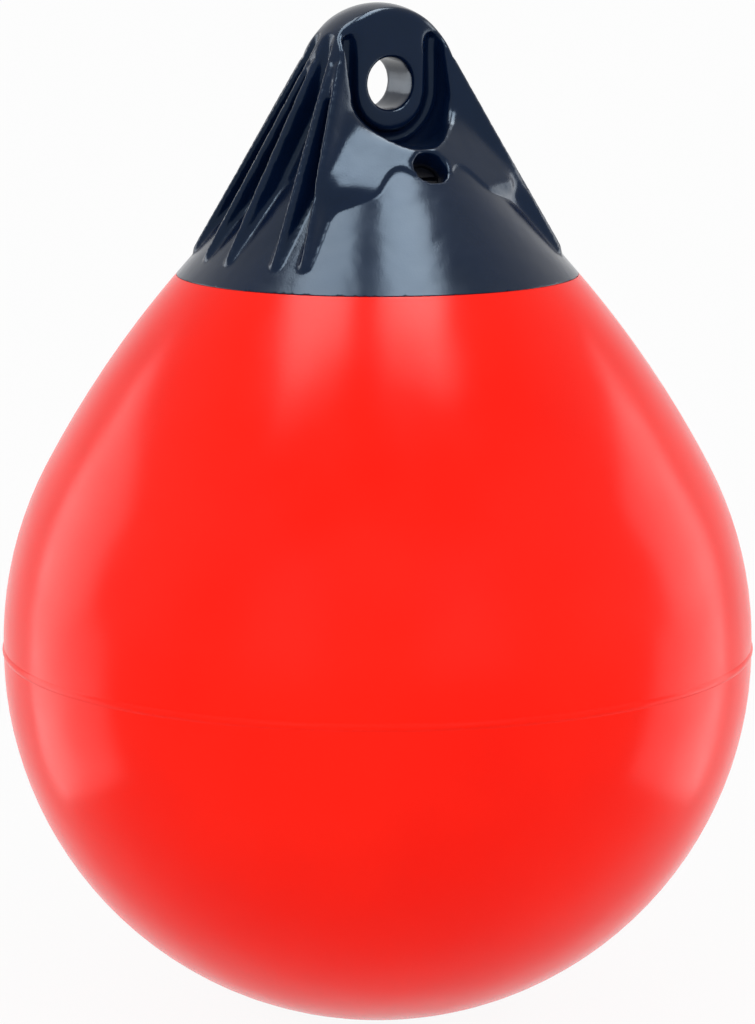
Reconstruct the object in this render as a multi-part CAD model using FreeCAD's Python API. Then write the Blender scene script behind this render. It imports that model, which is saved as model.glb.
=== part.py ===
import FreeCAD, Part
import math
import os

# Inflatable mooring buoy: a blown body with a finned rope hold bonded on its neck, and an air
# valve let into the hold. Millimetres, +Z up, the axis of the body on Z. The rope eye's bore
# runs along Y. The origin is on the axis, at the still water that the empty buoy floats in.

Vector = FreeCAD.Vector
AXIS = Vector(0, 0, 1)

# ---- body: driving dimensions ----
body_radius = 140.0        # half of the widest diameter, and the round of both halves
belt_height = 3.0          # straight belt between the halves, with the moulding seam on it
seam_height = 0.5          # how far the seam stands proud
neck_curve_radius = 387.0  # the long arc from the belly up to the rope hold
neck_half_angle = 40.9     # slope of the neck under the rope hold, from the axis, in degrees
rim_radius = 74.4          # where the body ends and the rope hold is bonded on
draught = 51.0             # lowest point up to the water, afloat and empty

# ---- rope hold ----
eye_rise = 70.2            # rim up to the centre of the rope eye
eye_radius = 9.5
crown_radius = 29.0        # round top of the hold, about the eye
crown_half_width = 10.5    # half of the eye's length along Y
crown_edge_round = 2.0
eye_edge_round = 1.0
fin_half_angle = 29.9      # slope of the fins' outer edges, from the axis, in degrees
fin_foot_step = 2.7        # the fins stop where they stand this far above the skirt,
fin_foot_gap = 6.0         # and at least this far inside the rim
fin_leans = (4.2, 11.8, 14.8)   # lean of each fin's plane from upright, in degrees
fin_turns = (2.0, 10.0, 15.0)   # turn of each fin's plane about the axis, in degrees
fin_fan_height = 41.0      # the fins' planes meet this far above the eye
fin_thickness = 3.0
fin_edge_round = 1.0
crease_radius = 45.5       # where the core rises from the skirt
crease_sink = 4.0          # the core's foot, down inside the skirt
core_half_angle = 31.0     # slope of the core's lower cone, in degrees
shoulder_radius = 27.5     # top of that cone
core_top_radius = 22.0     # the core under the crown

# ---- recess round the eye, front and back ----
web_half_thickness = 6.0
recess_half_width = 20.5   # the recess is a U round the tongue
recess_drop = 1.7          # centre of the U's round end, below the eye
recess_rise = 18.0         # the recess ends this far above the eye
tongue_half_width = 14.5   # the boss that carries the eye
tongue_drop = 3.0          # centre of its round end, below the eye
tongue_edge_round = 1.2
channel_half_width = 19.5  # the core has a channel this wide below the recess
channel_foot_half_width = 17.0   # the channel narrows to this at the crease
channel_half_angle = 35.5  # slope of the channel's floor, in degrees

# ---- gussets: flat-faced wedges between the channel and the nearest fins ----
gusset_turn = 18.0         # their faces look this far sideways from the front, in degrees
gusset_half_angle = 37.0   # slope of their faces, in degrees
gusset_width = 40.0
gusset_length = 45.0
gusset_depth = 14.0

# ---- air valve, in the front channel ----
valve_distance = 38.3      # axis of the buoy to the middle of the valve
valve_bore_radius = 6.6
valve_depth = 16.0
seat_wall = 1.2
seat_recess = 6.0          # the valve's mouth lies this far below the skirt
plug_clearance = 0.15
plug_setback = 1.0         # the plug's face, below the seat's
slot_width = 1.8
slot_depth = 1.6

# ---- heights worked out ----
half_belt = belt_height / 2
equator_z = body_radius + half_belt - draught
neck_lean = math.radians(neck_half_angle)
neck_lead = neck_curve_radius - body_radius
belly_rise = math.acos((neck_curve_radius * math.cos(neck_lean) - rim_radius) / neck_lead)
neck_rise = neck_curve_radius * (math.sin(neck_lean) - math.sin(belly_rise))
rim_z = equator_z + half_belt + body_radius * math.sin(belly_rise) + neck_rise
eye_z = rim_z + eye_rise
neck_slope = math.tan(math.radians(neck_half_angle))
fin_slope = math.tan(math.radians(fin_half_angle))
core_slope = math.tan(math.radians(core_half_angle))
channel_slope = math.tan(math.radians(channel_half_angle))
crease_z = rim_z + (rim_radius - crease_radius) / neck_slope
shoulder_z = crease_z + (crease_radius - shoulder_radius) / core_slope
sunk_z = crease_z - crease_sink
core_top_z = eye_z + math.sqrt(crown_radius ** 2 - core_top_radius ** 2)
skirt_top_z = rim_z + rim_radius / neck_slope
fan_z = eye_z + fin_fan_height
recess_top_z = eye_z + recess_rise
fin_tangent = math.radians(fin_half_angle)
fin_top_radius = crown_radius * math.cos(fin_tangent)
fin_top_z = eye_z + crown_radius * math.sin(fin_tangent)
fin_tip_z = fin_top_z + fin_top_radius / fin_slope
fin_meets_skirt = (fin_tip_z - skirt_top_z - fin_foot_step) / (1 / fin_slope - 1 / neck_slope)
fin_foot_radius = min(fin_meets_skirt, rim_radius - fin_foot_gap)
fin_foot_z = fin_tip_z - fin_foot_radius / fin_slope
fin_run = (fin_foot_radius - fin_top_radius) / math.sin(fin_tangent)
reach = 2 * body_radius
near = 0.01                # two lengths closer than this are the same
whole_share = 0.9          # an edge of at least this share of the run goes the whole way


def at(radius, z):
    """A point of a half profile, in the XZ plane."""
    return Vector(radius, 0, z)


def line(a, b):
    return Part.LineSegment(a, b).toShape()


def polyline(points):
    return [line(a, b) for a, b in zip(points, points[1:])]


def turned(edges):
    """Solid of revolution about Z from the edges of a closed half profile."""
    return Part.Face(Part.Wire(edges)).revolve(Vector(0, 0, 0), AXIS, 360)


def middle_of(edge):
    return edge.valueAt((edge.FirstParameter + edge.LastParameter) / 2)


def mirrored_y(shape):
    return shape.mirror(Vector(0, 0, 0), Vector(0, 1, 0))


def box(x0, x1, y0, y1, z0, z1):
    return Part.makeBox(x1 - x0, y1 - y0, z1 - z0, Vector(x0, y0, z0))


def arc(centre_radius, centre_z, radius, start, end):
    """Arc of a half profile between two latitudes about its centre."""
    angles = [start, (start + end) / 2, end]
    points = [
        at(centre_radius + radius * math.cos(a), centre_z + radius * math.sin(a)) for a in angles
    ]
    points = [at(max(p.x, 0), p.z) for p in points]
    return Part.Arc(*points).toShape()


def make_body():
    """The blown body: two round halves, a belt with the seam, and the neck's long arc."""
    low_z = equator_z - half_belt
    high_z = equator_z + half_belt
    quarter = math.pi / 2
    centre_z = high_z - neck_lead * math.sin(belly_rise)
    bottom = arc(0, low_z, body_radius, -quarter, 0)
    seam = Part.Arc(
        at(body_radius, low_z), at(body_radius + seam_height, equator_z), at(body_radius, high_z)
    ).toShape()
    belly = arc(0, high_z, body_radius, 0, belly_rise)
    neck_centre = -neck_lead * math.cos(belly_rise)
    neck = arc(neck_centre, centre_z, neck_curve_radius, belly_rise, neck_lean)
    rest = polyline([at(rim_radius, rim_z), at(0, rim_z), at(0, low_z - body_radius)])
    return turned([bottom, seam, belly, neck] + rest)


def crown_arc(radius):
    """Arc of the crown's sphere, from a radius on it up to the axis."""
    return arc(0, eye_z, crown_radius, math.acos(radius / crown_radius), math.pi / 2)


def make_core():
    """The solid middle of the hold, above the skirt, without its fins."""
    top = at(core_top_radius, core_top_z)
    outline = polyline(
        [
            at(0, sunk_z),
            at(crease_radius + crease_sink * core_slope, sunk_z),
            at(shoulder_radius, shoulder_z),
            top,
        ]
    )
    outline.append(crown_arc(core_top_radius))
    outline.append(line(at(0, eye_z + crown_radius), at(0, sunk_z)))
    return turned(outline)


def make_skirt():
    """The plain cone that carries on the neck's slope; the recess cuts off its point."""
    return turned(
        polyline([at(0, rim_z), at(rim_radius, rim_z), at(0, skirt_top_z), at(0, rim_z)])
    )


def make_fin_envelope():
    """The surface that the fins' outer edges lie on: a cone that runs into the crown's sphere."""
    outline = polyline(
        [
            at(0, rim_z),
            at(fin_foot_radius, rim_z),
            at(fin_foot_radius, fin_foot_z),
            at(fin_top_radius, fin_top_z),
        ]
    )
    outline.append(crown_arc(fin_top_radius))
    outline.append(line(at(0, eye_z + crown_radius), at(0, rim_z)))
    return turned(outline)


def leaning_slab(lean, turn, front, back):
    """A slab of the left front quarter that leans forward as it goes down from the fan's point.

    Front and back are its two faces, measured along Y from the plane through that point.
    """
    drop = (fan_z - rim_z) * math.tan(math.radians(lean))
    outline = polyline(
        [
            Vector(0, front, fan_z),
            Vector(0, back, fan_z),
            Vector(0, back - drop, rim_z),
            Vector(0, front - drop, rim_z),
            Vector(0, front, fan_z),
        ]
    )
    slab = Part.Face(Part.Wire(outline)).extrude(Vector(-reach, 0, 0))
    slab.rotate(Vector(0, 0, 0), AXIS, turn)
    return slab


def make_fin(lean, turn):
    """One fin of the left front quarter; its outer face passes through the fan's point."""
    width = fin_thickness / math.cos(math.radians(lean))
    fin = leaning_slab(lean, turn, 0, width).common(make_fin_envelope())
    return fin.makeFillet(fin_edge_round, long_outer_edges(fin))


def make_gusset():
    """The wedge of the left front quarter, and the room to keep free over its flat face.

    The face starts where channel and crease meet.
    """
    foot = channel_foot_half_width
    corner = Vector(-foot, -math.sqrt(crease_radius ** 2 - foot ** 2), crease_z)
    turn = math.radians(gusset_turn)
    lean = math.radians(gusset_half_angle)
    outward = Vector(
        -math.cos(lean) * math.sin(turn), -math.cos(lean) * math.cos(turn), math.sin(lean)
    )
    along = Vector(-math.cos(turn), math.sin(turn), 0)
    start = corner - along * foot
    upward = along.cross(outward)
    end = start + along * gusset_width
    rise = upward * gusset_length
    face = Part.Face(Part.Wire(polyline([start, end, end + rise, start + rise, start])))
    wedge = face.extrude(-(outward + AXIS).normalize() * gusset_depth)
    clearance = face.extrude(outward * gusset_depth)
    beside_fin = leaning_slab(fin_leans[-1], fin_turns[-1], -reach, fin_thickness / 2)
    return wedge.common(beside_fin), clearance.common(beside_fin)


def long_outer_edges(fin):
    """The edges along the fin's outer side, from its foot up to the crown."""
    found = []
    for edge in fin.Edges:
        middle = middle_of(edge)
        from_axis = math.hypot(middle.x, middle.y)
        if edge.Length > whole_share * fin_run and from_axis > fin_top_radius:
            found.append(edge)
    return found


def all_quarters(shape):
    """The shape of the left front quarter, and its mirror images in the other three."""
    pair = [shape, mirrored_y(shape)]
    return pair + [one.mirror(Vector(0, 0, 0), Vector(1, 0, 0)) for one in pair]


def make_fins():
    fins = []
    for lean, turn in zip(fin_leans, fin_turns):
        fins += all_quarters(make_fin(lean, turn))
    return fins


def u_shape(half_width, end_z, top_z, front, back):
    """A plate with a round lower end, seen along Y."""
    left = Vector(-half_width, front, end_z)
    right = Vector(half_width, front, end_z)
    top_left = Vector(-half_width, front, top_z)
    top_right = Vector(half_width, front, top_z)
    low = Vector(0, front, end_z - half_width)
    edges = polyline([left, top_left, top_right, right])
    edges.append(Part.Arc(right, low, left).toShape())
    return Part.Face(Part.Wire(edges)).extrude(Vector(0, back - front, 0))


def make_crown():
    """The round top: a sphere about the eye, flat in front and behind, with rounded edges."""
    half = crown_half_width
    small = crown_edge_round
    deep = half - small
    tall = math.sqrt((crown_radius - small) ** 2 - deep ** 2)
    lean = math.atan2(deep, tall)

    def on_sphere(angle):
        return Vector(0, crown_radius * math.sin(angle), eye_z + crown_radius * math.cos(angle))

    def on_edge(side, angle):
        return Vector(
            0, side * (deep + small * math.sin(angle)), eye_z + tall + small * math.cos(angle)
        )

    middle = (lean + math.pi / 2) / 2
    front = [on_edge(-1, math.pi / 2), on_edge(-1, middle), on_sphere(-lean)]
    back = [on_sphere(lean), on_edge(1, middle), on_edge(1, math.pi / 2)]
    round_top = Part.Arc(on_sphere(-lean), on_sphere(0), on_sphere(lean))
    edges = [Part.Arc(*front).toShape(), round_top.toShape(), Part.Arc(*back).toShape()]
    eye_back = Vector(0, half, eye_z)
    eye_front = Vector(0, -half, eye_z)
    edges += polyline([back[-1], eye_back, eye_front, front[0]])
    face = Part.Face(Part.Wire(edges))
    return face.revolve(Vector(0, 0, eye_z), Vector(0, 1, 0), 360)


def make_tongue():
    """The boss round the eye, which hangs from the crown."""
    half = crown_half_width
    tongue = u_shape(tongue_half_width, eye_z - tongue_drop, eye_z + crown_radius, -half, half)
    return tongue.common(make_crown())


def make_recess():
    """What is taken out in front of the web, up to the crown."""
    half = recess_half_width
    return u_shape(half, eye_z - recess_drop, recess_top_z, -reach, -web_half_thickness)


def make_channel():
    """What is taken out of the core below the recess, down to the channel's own slope."""
    top = channel_half_width
    foot = channel_foot_half_width
    high_z = eye_z - recess_drop
    corners = [(-foot, sunk_z), (foot, sunk_z), (foot, crease_z), (top, shoulder_z)]
    corners += [(top, high_z), (-top, high_z), (-top, shoulder_z), (-foot, crease_z)]
    corners.append(corners[0])
    outline = polyline([Vector(x, -reach, z) for x, z in corners])
    prism = Part.Face(Part.Wire(outline)).extrude(Vector(0, reach - web_half_thickness, 0))
    foot_radius = crease_radius + crease_sink * channel_slope
    peak_z = crease_z + crease_radius / channel_slope
    floor = polyline([at(0, sunk_z), at(foot_radius, sunk_z), at(0, peak_z), at(0, sunk_z)])
    return prism.cut(turned(floor))


def valve_axis():
    """Mouth and inward direction of the valve, square to the skirt's slope."""
    lean = math.radians(neck_half_angle)
    mouth = Vector(0, -valve_distance, rim_z + (rim_radius - valve_distance) / neck_slope)
    inward = Vector(0, math.cos(lean), -math.sin(lean))
    return mouth, inward


def make_hold():
    core = make_core()
    wedge, clearance = make_gusset()
    for one in all_quarters(clearance):
        core = core.cut(one)
    for one in all_quarters(wedge):
        core = core.fuse(one)
    channel = make_channel()
    core = core.cut(channel).cut(mirrored_y(channel))
    hold = make_skirt().fuse(core)
    for fin in make_fins():
        hold = hold.fuse(fin)
    recess = make_recess()
    hold = hold.cut(recess).cut(mirrored_y(recess))
    above = box(-reach, reach, -reach, reach, recess_top_z, eye_z + reach)
    hold = hold.cut(above).multiFuse([make_crown().common(above), make_tongue()])
    eye = Part.makeCylinder(eye_radius, 2 * reach, Vector(0, -reach, eye_z), Vector(0, 1, 0))
    mouth, inward = valve_axis()
    bore = Part.makeCylinder(valve_bore_radius, valve_depth, mouth, inward)
    outside = Part.makeCylinder(valve_bore_radius, reach, mouth, -inward)
    hold = hold.cut(eye).cut(bore.fuse(outside))
    hold = hold.removeSplitter()
    return round_tongue(round_eye(hold))


def on_tongue_face(edge):
    """Whether an edge lies in the flat face of the tongue, in front or behind."""
    ends = [edge.valueAt(edge.FirstParameter), edge.valueAt(edge.LastParameter), middle_of(edge)]
    return all(abs(abs(p.y) - crown_half_width) < near for p in ends)


def round_eye(hold):
    """Round the two rims of the eye."""
    rims = []
    for edge in hold.Edges:
        middle = middle_of(edge)
        from_eye = math.hypot(middle.x, middle.z - eye_z)
        if on_tongue_face(edge) and abs(from_eye - eye_radius) < near:
            rims.append(edge)
    return hold.makeFillet(eye_edge_round, rims)


def round_tongue(hold):
    """Round the tongue's outline, front and back, from its round end up to the crown."""
    outline = []
    for edge in hold.Edges:
        middle = middle_of(edge)
        from_end = math.hypot(middle.x, middle.z - eye_z + tongue_drop)
        straight = abs(abs(middle.x) - tongue_half_width) < near and middle.z < recess_top_z
        if on_tongue_face(edge) and (straight or abs(from_end - tongue_half_width) < near):
            outline.append(edge)
    return hold.makeFillet(tongue_edge_round, outline)


def make_valve_seat():
    """The ring that lines the valve's hole, with an open bore for the plug."""
    mouth, inward = valve_axis()
    start = mouth + inward * seat_recess
    length = valve_depth - seat_recess
    ring = Part.makeCylinder(valve_bore_radius, length, start, inward)
    bore = Part.makeCylinder(valve_bore_radius - seat_wall, length, start, inward)
    return ring.cut(bore)


def make_valve_plug():
    """The slotted plug that closes the valve."""
    mouth, inward = valve_axis()
    radius = valve_bore_radius - seat_wall - plug_clearance
    sunk = seat_recess + plug_setback
    start = mouth + inward * sunk
    plug = Part.makeCylinder(radius, valve_depth - sunk, start, inward)
    slot = box(-reach, reach, -slot_width / 2, slot_width / 2, 0, slot_depth)
    slot.Placement = FreeCAD.Placement(start, FreeCAD.Rotation(AXIS, inward))
    return plug.cut(slot)


def write(name, shape):
    if not shape.isValid():
        print(name, "is not valid")
    solids = shape.Solids
    whole = solids[0] if len(solids) == 1 else Part.makeCompound(solids)
    whole.exportStep("parts/" + name + ".step")
    print(name, len(solids), "solid", round(whole.Volume / 1000, 2), "cm3", whole.BoundBox)


os.makedirs("parts", exist_ok=True)
write("body", make_body())
write("rope_hold", make_hold())
write("valve_seat", make_valve_seat())
write("valve_plug", make_valve_plug())
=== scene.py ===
import math

import bmesh
import bpy
import numpy as np
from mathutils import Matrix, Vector
from mathutils.kdtree import KDTree


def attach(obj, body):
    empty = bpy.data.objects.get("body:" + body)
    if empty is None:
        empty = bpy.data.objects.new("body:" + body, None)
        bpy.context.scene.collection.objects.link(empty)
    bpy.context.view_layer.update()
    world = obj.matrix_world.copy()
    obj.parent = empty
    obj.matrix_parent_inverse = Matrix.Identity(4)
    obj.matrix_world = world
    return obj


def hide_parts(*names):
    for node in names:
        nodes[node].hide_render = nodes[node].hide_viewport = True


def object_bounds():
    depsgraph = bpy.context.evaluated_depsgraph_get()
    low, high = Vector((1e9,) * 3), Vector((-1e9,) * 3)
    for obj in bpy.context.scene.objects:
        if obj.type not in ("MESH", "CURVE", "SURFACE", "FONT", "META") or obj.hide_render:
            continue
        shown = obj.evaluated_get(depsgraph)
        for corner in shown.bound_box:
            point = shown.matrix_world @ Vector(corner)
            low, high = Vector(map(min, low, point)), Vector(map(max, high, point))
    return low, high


# Lengths are in metres. Angles are in degrees, apart from those made with math.radians.
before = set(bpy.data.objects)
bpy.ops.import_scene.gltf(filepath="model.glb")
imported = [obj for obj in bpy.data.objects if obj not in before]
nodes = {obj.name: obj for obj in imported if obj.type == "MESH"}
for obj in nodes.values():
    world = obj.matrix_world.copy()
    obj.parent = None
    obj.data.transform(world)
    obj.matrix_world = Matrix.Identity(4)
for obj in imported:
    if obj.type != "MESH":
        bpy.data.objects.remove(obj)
cad_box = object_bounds()
scene = bpy.context.scene
scene.view_settings.view_transform = "Standard"


# ---------------------------------------------------------------- materials
WHITE = (1, 1, 1, 1)
BODY_REDS = ((0.93, 0.0080, 0.0012), (0.97, 0.0105, 0.0020))
HOLD_NAVIES = ((0.0008, 0.0045, 0.0180), (0.0014, 0.0060, 0.0240))
HOLD_GLINT = (0.60, 0.80, 1.0, 1)      # the tint of the hold's highlights
VALVE_BLACKS = ((0.0012, 0.0016, 0.0034), (0.0024, 0.0030, 0.0056))

NOISE_ROUGHNESS = 0.55
COLOUR_SPAN = (0.35, 0.65)         # the noise between which a colour goes over into the next
HAZE_SPAN = (0.3, 0.7)             # and the noise between which the roughness does
GRAIN_HEIGHT = 0.00003             # of the fine grain on both vinyls
BODY_WAVE_HEIGHT = 0.0006          # of the slow waves under it
HOLD_WAVE_HEIGHT = 0.0003
VALVE_GRAIN_HEIGHT = 0.00005

MIX_FIRST, MIX_SECOND = 6, 7       # the colour inputs of a Mix node
MIX_RESULT = 2                     # and its colour output


class Tree:
    """A material's node tree, with short calls for its nodes and links."""

    def __init__(self, name):
        self.material = bpy.data.materials.new(name)
        self.material.use_nodes = True
        self.tree = self.material.node_tree
        self.shader = self.tree.nodes["Principled BSDF"]
        self.output = self.tree.nodes["Material Output"]

    def add(self, kind, values=(), links=()):
        """A new node, with a value or a link for each input that is given."""
        node = self.tree.nodes.new(kind)
        for socket, value in dict(values).items():
            node.inputs[socket].default_value = value
        for socket, source in dict(links).items():
            self.link(source, node.inputs[socket])
        return node

    def link(self, source, target):
        self.tree.links.new(source, target)

    def set(self, socket, value):
        self.shader.inputs[socket].default_value = value

    def drive(self, socket, source):
        """Let a node's output give one of the shader's inputs."""
        self.link(source, self.shader.inputs[socket])

    def noise(self, coords, scale, detail):
        values = {"Scale": scale, "Detail": detail, "Roughness": NOISE_ROUGHNESS}
        return self.add("ShaderNodeTexNoise", values, {"Vector": coords}).outputs["Fac"]

    def spread(self, value, span, to_low, to_high):
        """The span of a value, stretched to reach from one number to another."""
        values = {"From Min": span[0], "From Max": span[1], "To Min": to_low, "To Max": to_high}
        return self.add("ShaderNodeMapRange", values, {"Value": value}).outputs["Result"]

    def blotches(self, noise, colours):
        """A base colour that wanders between two."""
        factor = self.spread(noise, COLOUR_SPAN, 0, 1)
        node = self.add("ShaderNodeMix")
        node.data_type = "RGBA"
        self.link(factor, node.inputs["Factor"])
        for socket, colour in zip((MIX_FIRST, MIX_SECOND), colours):
            node.inputs[socket].default_value = (*colour, 1)
        self.drive("Base Color", node.outputs[MIX_RESULT])

    def haze(self, noise, least, most):
        """A roughness that wanders between two."""
        self.drive("Roughness", self.spread(noise, HAZE_SPAN, least, most))

    def bump(self, height, distance, under=None):
        """A relief, on top of another one if that is given."""
        links = {"Height": height}
        if under is not None:
            links["Normal"] = under
        values = {"Strength": 1.0, "Distance": distance}
        return self.add("ShaderNodeBump", values, links).outputs["Normal"]


def body_vinyl():
    """Blown soft vinyl: glossy orange-red, with a faint orange peel."""
    t = Tree("body_vinyl")
    coords = t.add("ShaderNodeTexCoord").outputs["Object"]
    t.blotches(t.noise(coords, scale=14.0, detail=2.0), BODY_REDS)
    t.haze(t.noise(coords, scale=60.0, detail=4.0), least=0.18, most=0.24)
    peel = t.noise(coords, scale=900.0, detail=2.0)
    wave = t.noise(coords, scale=22.0, detail=1.0)
    t.drive("Normal", t.bump(peel, GRAIN_HEIGHT, under=t.bump(wave, BODY_WAVE_HEIGHT)))
    t.set("IOR", 1.2)
    return t.material


def hold_vinyl():
    """Solid moulded vinyl: navy that is almost black, satin to glossy."""
    t = Tree("hold_vinyl")
    coords = t.add("ShaderNodeTexCoord").outputs["Object"]
    t.blotches(t.noise(coords, scale=30.0, detail=3.0), HOLD_NAVIES)
    t.haze(t.noise(coords, scale=90.0, detail=4.0), least=0.16, most=0.22)
    grain = t.noise(coords, scale=1400.0, detail=2.0)
    wave = t.noise(coords, scale=60.0, detail=2.0)
    t.drive("Normal", t.bump(grain, GRAIN_HEIGHT, under=t.bump(wave, HOLD_WAVE_HEIGHT)))
    t.set("IOR", 1.33)
    t.set("Specular Tint", HOLD_GLINT)
    return t.material


def valve_plastic():
    """Black moulded plastic of the valve."""
    t = Tree("valve_plastic")
    coords = t.add("ShaderNodeTexCoord").outputs["Object"]
    grain = t.noise(coords, scale=400.0, detail=3.0)
    t.blotches(grain, VALVE_BLACKS)
    t.haze(grain, least=0.40, most=0.55)
    t.drive("Normal", t.bump(grain, VALVE_GRAIN_HEIGHT))
    t.set("IOR", 1.25)
    return t.material


def background_rays(tree):
    """1 for rays that meet the plain background: the camera's, and those off or through gloss."""
    path = tree.nodes.new("ShaderNodeLightPath")
    seen = path.outputs["Is Camera Ray"]
    for name in ("Is Glossy Ray", "Is Transmission Ray"):
        either = tree.nodes.new("ShaderNodeMath")
        either.operation = "MAXIMUM"
        tree.links.new(seen, either.inputs[0])
        tree.links.new(path.outputs[name], either.inputs[1])
        seen = either.outputs[0]
    return seen


def paint(piece, material):
    piece.data.materials.clear()
    piece.data.materials.append(material)


# ---------------------------------------------------------------- rope hold
WELD_REACH = 0.00002
VOXEL = 0.00095                    # keeps the hold under 200,000 triangles, at about 185,000
SMOOTH_FACTOR = 0.5
SOFTEN_ROUNDS = 11                 # round all edges, as a moulding's are
RELAX_ROUNDS = 45                  # and the soft places more
EVEN_ROUNDS = 2                    # and ease the true forms into what lies beside them

RIM_RADIUS = 0.0744
RIM_BAND = 0.004                   # this far up from the rim all that is outside is on the cone
RIM_SHRINK = 0.0018                # and this far in from the cone still counts as outside
SKIRT_LEAN = math.radians(40.9)
CROWN_RADIUS = 0.029
CROWN_CENTRE = (0, 0, 0.299676)
TRUE_REACH = (0.00025, 0.0007)     # nearer than this lies on the form, and past this is free
ALIKE_FROM = 0.93                  # how well a normal has to fit to count at all
ALIKE_SPAN = 0.05                  # and how much better to count in full
TINY = 1e-6                        # keeps a division from failing on the axis

SOFT_PLACES = (                    # middle and half size of a box, the same in each quarter
    # where the recess runs out into the core
    ((0.0205, 0.0205, 0.2830), (0.0045, 0.0085, 0.0100)),
    # the foot of the gusset
    ((0.0310, 0.0380, 0.2628), (0.0120, 0.0060, 0.0060)),
    # the upper end of the recess
    ((0.0175, 0.0085, 0.3165), (0.0025, 0.0020, 0.0030)),
)
SOFT_FADE = 0.003


def read_vectors(source, name, count):
    values = np.empty(count * 3)
    source.foreach_get(name, values)
    return values.reshape(-1, 3)


def belonging(gap, alike):
    """How much each point belongs to a form, by its distance and by how well its normal fits."""
    near, far = TRUE_REACH
    by_gap = np.clip((far - gap) / (far - near), 0, 1)
    return by_gap * np.clip((alike - ALIKE_FROM) / ALIKE_SPAN, 0, 1)


def true_forms(piece, rim_height):
    """Lay the skirt back on its cone and the crown on its sphere, for straight highlights."""
    mesh = piece.data
    points = read_vectors(mesh.vertices, "co", len(mesh.vertices))
    normals = read_vectors(mesh.vertex_normals, "vector", len(mesh.vertices))

    centre = np.array(CROWN_CENTRE)
    arm = points - centre
    length = np.maximum(np.linalg.norm(arm, axis=1), TINY)
    alike = (arm * normals).sum(axis=1) / length
    share = belonging(np.abs(length - CROWN_RADIUS), alike)[:, None]
    points = centre + arm * (1 + share * (CROWN_RADIUS / length[:, None] - 1))

    points[:, 2] = np.maximum(points[:, 2], rim_height)
    radius = np.maximum(np.hypot(points[:, 0], points[:, 1]), TINY)
    wanted = RIM_RADIUS - (points[:, 2] - rim_height) * math.tan(SKIRT_LEAN)
    outward = (points[:, :2] * normals[:, :2]).sum(axis=1) / radius
    alike = outward * math.cos(SKIRT_LEAN) + normals[:, 2] * math.sin(SKIRT_LEAN)
    share = belonging(np.abs(radius - wanted) * math.cos(SKIRT_LEAN), alike)
    share[(points[:, 2] - rim_height < RIM_BAND) & (radius > wanted - RIM_SHRINK)] = 1
    points[:, :2] *= (1 + share * (wanted / radius - 1))[:, None]

    mesh.vertices.foreach_set("co", points.ravel())
    mesh.update()


def outside_box(spot, middle, half):
    """How far a point lies outside a box, along the axis where that is most."""
    return max(0, *(abs(p - m) - h for p, m, h in zip(spot, middle, half)))


def mark_soft_places(piece):
    """The vertex group "soft": 1 in the soft places, and less over SOFT_FADE round them."""
    soft = piece.vertex_groups.new(name="soft")
    for vertex in piece.data.vertices:
        spot = (abs(vertex.co.x), abs(vertex.co.y), vertex.co.z)
        outside = min(outside_box(spot, *place) for place in SOFT_PLACES)
        if outside < SOFT_FADE:
            soft.add([vertex.index], 1 - outside / SOFT_FADE, "REPLACE")


def apply_all(piece):
    for modifier in list(piece.modifiers):
        with bpy.context.temp_override(object=piece, active_object=piece):
            bpy.ops.object.modifier_apply(modifier=modifier.name)


def smooth(piece, rounds, group=""):
    modifier = piece.modifiers.new("smooth", "SMOOTH")
    modifier.factor = SMOOTH_FACTOR
    modifier.iterations = rounds
    modifier.vertex_group = group
    apply_all(piece)


def moulded_hold():
    """The rope hold with the soft inner and outer rounds of a moulding."""
    piece = bpy.data.objects.new("hold_moulding", nodes["rope_hold"].data.copy())
    scene.collection.objects.link(piece)
    bpy.context.view_layer.objects.active = piece
    weld = piece.modifiers.new("weld", "WELD")
    weld.merge_threshold = WELD_REACH
    remesh = piece.modifiers.new("remesh", "REMESH")
    remesh.mode = "VOXEL"
    remesh.voxel_size = VOXEL
    remesh.use_smooth_shade = True
    smooth(piece, SOFTEN_ROUNDS)
    mark_soft_places(piece)
    smooth(piece, RELAX_ROUNDS, group="soft")
    rim_height = min(vertex.co.z for vertex in nodes["rope_hold"].data.vertices)
    true_forms(piece, rim_height)
    smooth(piece, EVEN_ROUNDS)
    true_forms(piece, rim_height)
    for face in piece.data.polygons:
        face.use_smooth = True
    return piece


# ---------------------------------------------------------------- body
SAME_POINT = 0.000002              # points nearer than this are one
CORNER_INSET = 0.1                 # of the way from a corner to its face's middle


def corner_spots(mesh):
    """A spot for each face corner, a little way in towards its face's middle."""
    for face in mesh.polygons:
        for index in face.vertices:
            yield mesh.vertices[index].co.lerp(face.center, CORNER_INSET)


def blown_body():
    """The body, closed at its bottom pole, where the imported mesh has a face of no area.

    Each corner keeps the normal that it had.
    """
    mesh = nodes["body"].data.copy()
    before = [corner.vector.copy() for corner in mesh.corner_normals]
    tree = KDTree(len(before))
    for index, spot in enumerate(corner_spots(mesh)):
        tree.insert(spot, index)
    tree.balance()
    form = bmesh.new()
    form.from_mesh(mesh)
    bmesh.ops.remove_doubles(form, verts=form.verts, dist=SAME_POINT)
    form.to_mesh(mesh)
    form.free()
    mesh.normals_split_custom_set([before[tree.find(spot)[1]] for spot in corner_spots(mesh)])
    piece = bpy.data.objects.new("blown_body", mesh)
    scene.collection.objects.link(piece)
    return piece


# ---------------------------------------------------------------- pieces
hold = moulded_hold()
paint(hold, hold_vinyl())
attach(hold, "root")
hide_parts("rope_hold")

body = blown_body()
paint(body, body_vinyl())
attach(body, "root")
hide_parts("body")

valve_material = valve_plastic()
for name in ("valve_seat", "valve_plug"):
    paint(nodes[name], valve_material)


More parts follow.
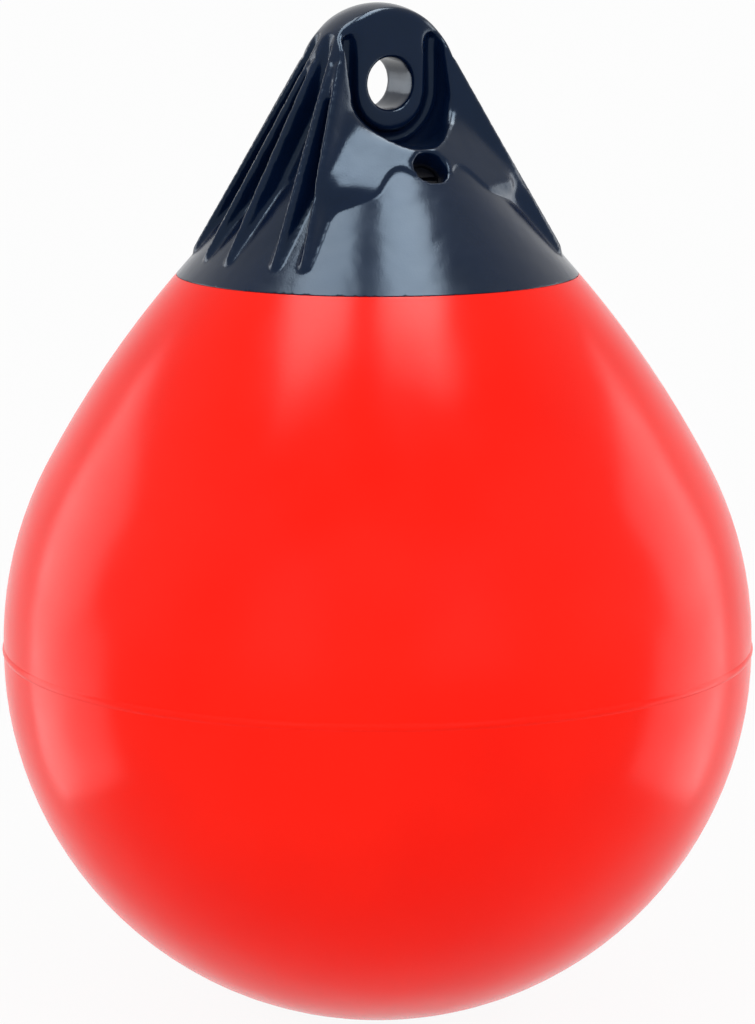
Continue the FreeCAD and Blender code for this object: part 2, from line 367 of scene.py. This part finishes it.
# ---------------------------------------------------------------- stage
FLOOR_SIZE = 30
FLOOR_COLOUR = (0.80, 0.80, 0.80, 1)
FLOOR_WHITENESS = 0.93             # how much of the floor is plain white to background rays
AMBIENT = 0.12                     # the world's strength to all other rays
BACKDROP = 1.0                     # and to background rays


def stage_material():
    """Pale matt floor, nearly white to background rays, that keeps the object's shadow."""
    t = Tree("stage_floor")
    t.set("Base Color", FLOOR_COLOUR)
    t.set("Roughness", 0.9)
    t.set("Specular IOR Level", 0.1)
    glow = t.add("ShaderNodeEmission", {"Color": WHITE})
    share = t.add("ShaderNodeMath", {1: FLOOR_WHITENESS}, {0: background_rays(t.tree)})
    share.operation = "MULTIPLY"
    sources = (share.outputs[0], t.shader.outputs[0], glow.outputs[0])
    both = t.add("ShaderNodeMixShader", links=enumerate(sources))
    t.link(both.outputs[0], t.output.inputs["Surface"])
    return t.material


bpy.ops.mesh.primitive_plane_add(size=FLOOR_SIZE, location=(0, 0, cad_box[0][2]))
floor = bpy.context.object
floor.name = "floor"
paint(floor, stage_material())
floor.visible_glossy = False       # gloss sees the white world and the low softboxes through it

world = bpy.data.worlds.new("studio")
scene.world = world
world.use_nodes = True
world_nodes = world.node_tree.nodes
world_links = world.node_tree.links
surroundings = world_nodes["Background"]
backdrop = world_nodes.new("ShaderNodeBackground")
for node, strength in ((surroundings, AMBIENT), (backdrop, BACKDROP)):
    node.inputs["Color"].default_value = WHITE
    node.inputs["Strength"].default_value = strength
which = world_nodes.new("ShaderNodeMixShader")
world_links.new(background_rays(world.node_tree), which.inputs[0])
world_links.new(surroundings.outputs[0], which.inputs[1])
world_links.new(backdrop.outputs[0], which.inputs[2])
world_links.new(which.outputs[0], world_nodes["World Output"].inputs["Surface"])


# ---------------------------------------------------------------- lights and camera
# The softboxes show in the gloss only, and the fills light the colour only.
VIEW_TURN = math.radians(-30)      # the camera stands this far round from the front
AIM = Vector((0, 0, 0.09))         # where the softboxes beside the object face
SIDE_DISTANCE = 1.6
SIDE_FAR_EDGE = 126                # the side softboxes reach back to this azimuth
SIDE_SOFTBOXES = (                 # name, side, azimuth of the upper one's near edge
    ("left", -1, 95),
    ("right", 1, 97),
)
LOW_NEARER = 9                     # the low ones' near edge stands this much nearer the camera
TOP_SOFTBOXES = (                  # name, right, away, up, width, depth, radiance
    ("top_left_softbox", -0.600, -0.105, 1.77, 0.675, 1.21, 12.0),
    ("top_right_softbox", 0.361, -0.105, 1.77, 0.608, 1.21, 16.0),
)
LOW_FILLS = (                      # azimuth, strength
    (-105, 0.82), (-55, 1.27), (0, 1.45), (55, 1.27), (105, 0.82), (180, 1.1),
)
CAMERA_PLACE = (-0.6827, -1.1824, 0.3854)
CAMERA_ELEVATION = 10.2
CAMERA_LENS = 130.47
SENSOR_HEIGHT = 36


def around(azimuth, elevation, distance):
    """A point round the object; azimuth is counted from the camera's side, to its right."""
    turn = VIEW_TURN + math.radians(azimuth)
    flat = distance * math.cos(math.radians(elevation))
    height = distance * math.sin(math.radians(elevation))
    return Vector((math.sin(turn) * flat, -math.cos(turn) * flat, height))


def softbox(name, width, height, radiance):
    """A softbox that still has to be placed."""
    data = bpy.data.lights.new(name, "AREA")
    data.shape = "RECTANGLE"
    data.size, data.size_y = width, height
    data.energy = radiance * math.pi * width * height
    piece = bpy.data.objects.new(name, data)
    scene.collection.objects.link(piece)
    piece.visible_diffuse = False
    return piece


def facing(direction):
    """The rotation of a lamp that shines in a direction."""
    return direction.to_track_quat("-Z", "Y").to_euler()


def softbox_beside(name, side, near, elevation, height, radiance):
    """A softbox beside the object, from an azimuth back to SIDE_FAR_EDGE, that faces it."""
    middle = (near + SIDE_FAR_EDGE) / 2
    width = 2 * SIDE_DISTANCE * math.tan(math.radians((SIDE_FAR_EDGE - near) / 2))
    piece = softbox(name, width, height, radiance)
    piece.location = AIM + around(side * middle, elevation, SIDE_DISTANCE)
    piece.rotation_euler = facing(AIM - piece.location)


def softbox_above(name, right, away, up, width, depth, radiance):
    """A softbox over the object that faces straight down, square to the camera's view."""
    piece = softbox(name, width, depth, radiance)
    side = Vector((math.cos(VIEW_TURN), math.sin(VIEW_TURN), 0)) * right
    back = Vector((-math.sin(VIEW_TURN), math.cos(VIEW_TURN), 0)) * away
    piece.location = side + back + Vector((0, 0, up))
    piece.rotation_euler = (0, 0, VIEW_TURN)


def fill(name, azimuth, elevation, strength, angle):
    """Wide even light that adds no highlight of its own."""
    data = bpy.data.lights.new(name, "SUN")
    data.energy = strength
    data.angle = math.radians(angle)
    piece = bpy.data.objects.new(name, data)
    scene.collection.objects.link(piece)
    piece.rotation_euler = facing(-around(azimuth, elevation, 1))
    piece.visible_glossy = False


for name, side, near in SIDE_SOFTBOXES:
    softbox_beside(name + "_softbox", side, near, elevation=15, height=0.80, radiance=3.5)
    softbox_beside(
        name + "_low_softbox", side, near - LOW_NEARER, elevation=-14, height=0.85, radiance=2.8
    )
for values in TOP_SOFTBOXES:
    softbox_above(*values)
for azimuth, strength in LOW_FILLS:
    fill("low_fill_%d" % azimuth, azimuth, elevation=5, strength=strength, angle=80)
fill("top_fill", azimuth=0, elevation=80, strength=1.0, angle=120)

camera_data = bpy.data.cameras.new("camera")
camera_data.sensor_fit = "VERTICAL"
camera_data.sensor_height = SENSOR_HEIGHT
camera_data.lens = CAMERA_LENS
camera = bpy.data.objects.new("camera", camera_data)
scene.collection.objects.link(camera)
camera.location = CAMERA_PLACE
camera.rotation_euler = (math.radians(90 - CAMERA_ELEVATION), 0, VIEW_TURN)
scene.camera = camera
